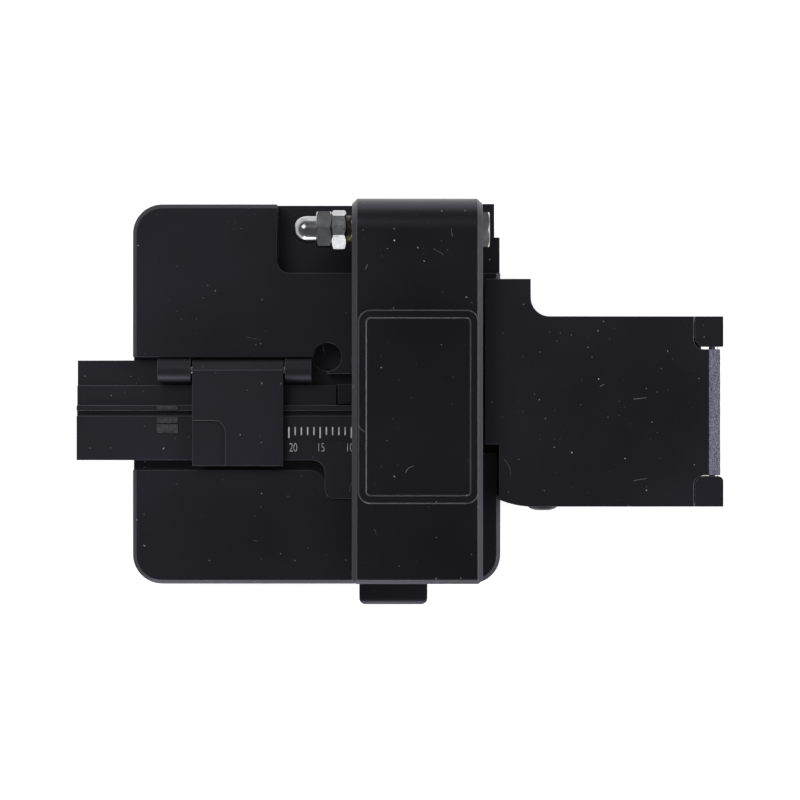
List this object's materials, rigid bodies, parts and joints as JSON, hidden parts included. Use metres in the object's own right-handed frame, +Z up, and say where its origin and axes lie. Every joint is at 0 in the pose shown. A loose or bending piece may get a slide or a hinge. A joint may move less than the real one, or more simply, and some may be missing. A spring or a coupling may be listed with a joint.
{
  "type": "fibre cleaver",
  "caption": "Bench fibre cleaver: black metal base with a sliding blade, hinged clamp arm, fibre plate with flap, and a scrap collector with a hinged cover.",
  "frame": {"origin": "on the underside of the rubber mat, straight below the point where the blade plane crosses the fibre line", "axes": "+X to the right along the fibre towards the scrap collector, +Y to the rear towards the arm's hinge, +Z up"},
  "size_m": [0.1036, 0.0657, 0.0505],
  "materials": {
    "black_anodised": "satin black anodised",
    "nickel_steel": "bright nickel plate",
    "bare_steel": "ground",
    "black_steel": "black oxide",
    "brass": "plain",
    "carbide": "lapped",
    "black_rubber": "matte",
    "grey_rubber": "matte",
    "magnet": "nickel plate"
  },
  "bodies": {
    "base": {"base_body": "black_anodised", "rubber_mat": "black_rubber", "hinge_block": "black_anodised", "hinge_block_screws": "black_steel", "hinge_bolt": "nickel_steel", "hinge_washers": "brass", "hinge_nut": "nickel_steel", "acorn_nut": "nickel_steel", "lower_clamp_left": "black_anodised", "lower_clamp_right": "black_anodised", "lower_pad_left": "black_rubber", "lower_pad_right": "black_rubber", "clamp_screws": "black_steel", "keeper_pin": "bare_steel", "fibre_plate": "black_anodised", "flap_hinge_pin": "bare_steel", "fibre_plate_screws": "black_steel", "guide_pads": "grey_rubber", "slide_rail": "bare_steel", "rail_screws": "bare_steel", "collector_case": "black_anodised", "collector_screws": "black_steel", "cover_hinge_pin": "bare_steel", "feed_roller_axle": "black_steel"},
    "arm": {"arm": "black_anodised", "arm_top_plate": "black_anodised", "upper_clamp_left": "black_anodised", "upper_clamp_right": "black_anodised", "upper_pad_left": "black_rubber", "upper_pad_right": "black_rubber", "anvil": "bare_steel", "closing_magnet": "magnet"},
    "flap": {"flap": "black_anodised", "flap_pad": "black_rubber", "flap_magnet": "magnet"},
    "slider": {"slider_carriage": "bare_steel", "slider_block": "black_anodised", "slider_knob": "black_anodised", "knob_screw": "black_steel", "height_screw": "black_steel", "holder_pivot_pin": "bare_steel"},
    "blade_holder": {"blade_holder": "black_anodised", "blade_spindle": "bare_steel", "blade_screw": "bare_steel"},
    "blade": {"blade": "carbide"},
    "collector_cover": {"collector_cover": "black_anodised", "pinch_axle": "bare_steel"},
    "feed_roller": {"feed_roller": "black_rubber"},
    "pinch_roller": {"pinch_roller": "grey_rubber"}
  },
  "joints": [
    {"name": "arm_hinge", "type": "hinge", "parent": "base", "child": "arm", "pos_m": [0.00055, 0.02927, 0.045], "axis": [-1, 0, 0], "range_deg": [0, 60]},
    {"name": "flap_hinge", "type": "hinge", "parent": "base", "child": "flap", "pos_m": [-0.02823, 0.00696, 0.03825], "axis": [-1, 0, 0], "range_deg": [0, 110]},
    {"name": "slider_slide", "type": "slide", "parent": "base", "child": "slider", "axis": [0, 1, 0], "range_m": [-0.02, 0]},
    {"name": "blade_height", "type": "hinge", "parent": "slider", "child": "blade_holder", "pos_m": [-0.0024, 0.0176, 0.0199], "axis": [1, 0, 0], "range_deg": [-0.5, 0.5]},
    {"name": "blade_index", "type": "hinge", "parent": "blade_holder", "child": "blade", "pos_m": [0, 0.008, 0.02702], "axis": [1, 0, 0], "continuous": true},
    {"name": "collector_cover_hinge", "type": "hinge", "parent": "base", "child": "collector_cover", "pos_m": [0.04797, 0, 0.0408], "axis": [0, 1, 0], "range_deg": [0, 100]},
    {"name": "feed_roller_spin", "type": "hinge", "parent": "base", "child": "feed_roller", "pos_m": [0.0209, 0, 0.033], "axis": [0, 1, 0], "continuous": true},
    {"name": "pinch_roller_spin", "type": "hinge", "parent": "collector_cover", "child": "pinch_roller", "pos_m": [0.0209, 0, 0.03892], "axis": [0, 1, 0], "continuous": true}
  ],
  "couplings": [
    {"joint": "pinch_roller_spin", "follows": "feed_roller_spin", "ratio": -2.2222}
  ]
}
